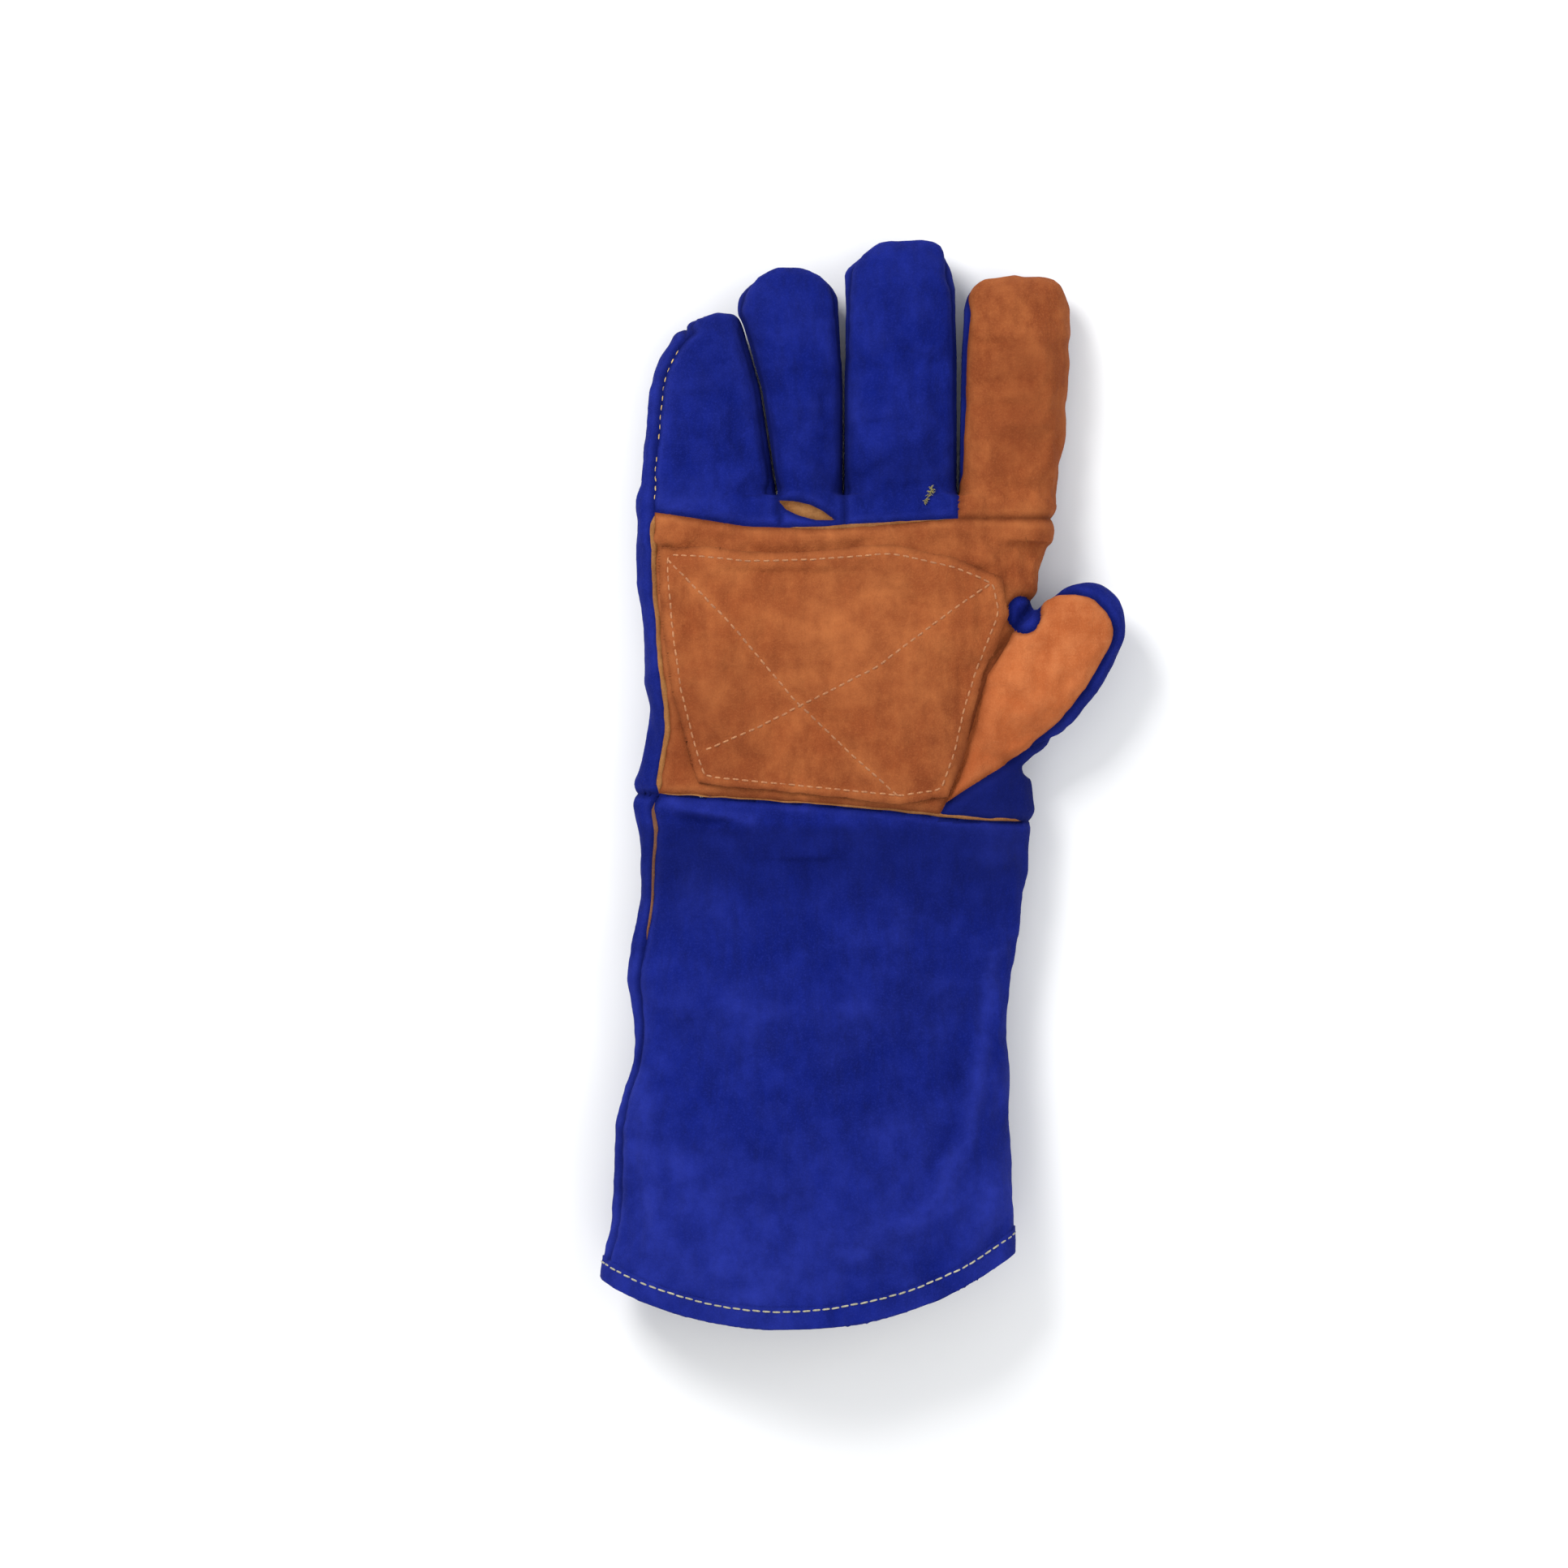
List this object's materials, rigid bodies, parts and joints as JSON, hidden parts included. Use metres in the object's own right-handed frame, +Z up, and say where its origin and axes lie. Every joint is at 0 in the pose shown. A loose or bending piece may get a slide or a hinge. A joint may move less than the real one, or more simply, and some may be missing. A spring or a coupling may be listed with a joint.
{
  "type": "welding glove",
  "caption": "Gauntlet welding glove for the right hand, split leather with a sewn palm patch, fleece-lined hand, flared cuff, and fingers, thumb and wrist that bend.",
  "frame": {"origin": "on the plane the glove rests on, under the middle of the palm", "axes": "+Y from the cuff to the fingertips, +X towards the thumb side, +Z up out of the palm; the glove lies on its back"},
  "size_m": [0.1975, 0.4056, 0.0484],
  "materials": {
    "blue_leather": "suede nap, dyed",
    "tan_leather": "suede nap",
    "thumb_leather": "suede nap",
    "yellow_thread": "twisted thread",
    "fleece_lining": "brushed cotton fleece",
    "canvas_lining": "plain woven cotton"
  },
  "bodies": {
    "hand": {"hand_back": "blue_leather", "palm_base": "tan_leather", "hand_liner": "fleece_lining", "palm_patch": "tan_leather", "palm_patch_stitching": "yellow_thread", "hand_side_welt": "tan_leather", "wrist_welt": "tan_leather", "finger_base_welt": "tan_leather", "thumb_heel": "blue_leather"},
    "cuff": {"cuff_front": "blue_leather", "cuff_back": "blue_leather", "cuff_liner": "canvas_lining", "cuff_hem_binding": "blue_leather", "cuff_hem_stitching": "yellow_thread", "cuff_side_welt": "tan_leather"},
    "thumb": {"thumb_front": "thumb_leather", "thumb_back": "blue_leather", "thumb_liner": "fleece_lining"},
    "index_lower": {"index_front_lower": "tan_leather", "index_back_lower": "blue_leather", "index_fourchette_lower": "blue_leather", "index_liner_lower": "fleece_lining"},
    "index_upper": {"index_front_upper": "tan_leather", "index_back_upper": "blue_leather", "index_fourchette_upper": "blue_leather", "index_liner_upper": "fleece_lining"},
    "middle_lower": {"middle_front_lower": "blue_leather", "middle_back_lower": "blue_leather", "middle_fourchette_lower": "blue_leather", "middle_liner_lower": "fleece_lining"},
    "middle_upper": {"middle_front_upper": "blue_leather", "middle_back_upper": "blue_leather", "middle_fourchette_upper": "blue_leather", "middle_liner_upper": "fleece_lining"},
    "ring_lower": {"ring_front_lower": "blue_leather", "ring_back_lower": "blue_leather", "ring_fourchette_lower": "blue_leather", "ring_liner_lower": "fleece_lining"},
    "ring_upper": {"ring_front_upper": "blue_leather", "ring_back_upper": "blue_leather", "ring_fourchette_upper": "blue_leather", "ring_liner_upper": "fleece_lining"},
    "little_lower": {"little_front_lower": "blue_leather", "little_back_lower": "blue_leather", "little_fourchette_lower": "blue_leather", "little_liner_lower": "fleece_lining"},
    "little_upper": {"little_front_upper": "blue_leather", "little_back_upper": "blue_leather", "little_fourchette_upper": "blue_leather", "little_liner_upper": "fleece_lining"}
  },
  "joints": [
    {"name": "wrist_bend", "type": "hinge", "parent": "hand", "child": "cuff", "pos_m": [0, -0.0544, 0.017], "axis": [-1, 0, 0], "range_deg": [0, 35]},
    {"name": "index_base_bend", "type": "hinge", "parent": "hand", "child": "index_lower", "pos_m": [0.063, 0.068, 0.019], "axis": [1, 0, 0], "range_deg": [0, 75]},
    {"name": "index_middle_bend", "type": "hinge", "parent": "index_lower", "child": "index_upper", "pos_m": [0.0655, 0.106, 0.019], "axis": [1, 0, 0], "range_deg": [0, 80]},
    {"name": "middle_base_bend", "type": "hinge", "parent": "hand", "child": "middle_lower", "pos_m": [0.023, 0.068, 0.019], "axis": [1, 0, 0], "range_deg": [0, 75]},
    {"name": "middle_middle_bend", "type": "hinge", "parent": "middle_lower", "child": "middle_upper", "pos_m": [0.023, 0.112, 0.019], "axis": [1, 0, 0], "range_deg": [0, 80]},
    {"name": "ring_base_bend", "type": "hinge", "parent": "hand", "child": "ring_lower", "pos_m": [-0.0119, 0.068, 0.019], "axis": [1, 0, 0], "range_deg": [0, 75]},
    {"name": "ring_middle_bend", "type": "hinge", "parent": "ring_lower", "child": "ring_upper", "pos_m": [-0.0143, 0.108, 0.019], "axis": [1, 0, 0], "range_deg": [0, 80]},
    {"name": "little_base_bend", "type": "hinge", "parent": "hand", "child": "little_lower", "pos_m": [-0.0508, 0.068, 0.019], "axis": [1, 0, 0], "range_deg": [0, 75]},
    {"name": "little_middle_bend", "type": "hinge", "parent": "little_lower", "child": "little_upper", "pos_m": [-0.0514, 0.098, 0.019], "axis": [1, 0, 0], "range_deg": [0, 80]},
    {"name": "thumb_fold", "type": "hinge", "parent": "hand", "child": "thumb", "pos_m": [0.0525, -0.0205, 0.0225], "axis": [-0.3669, -0.9303, 0], "range_deg": [0, 45]}
  ]
}
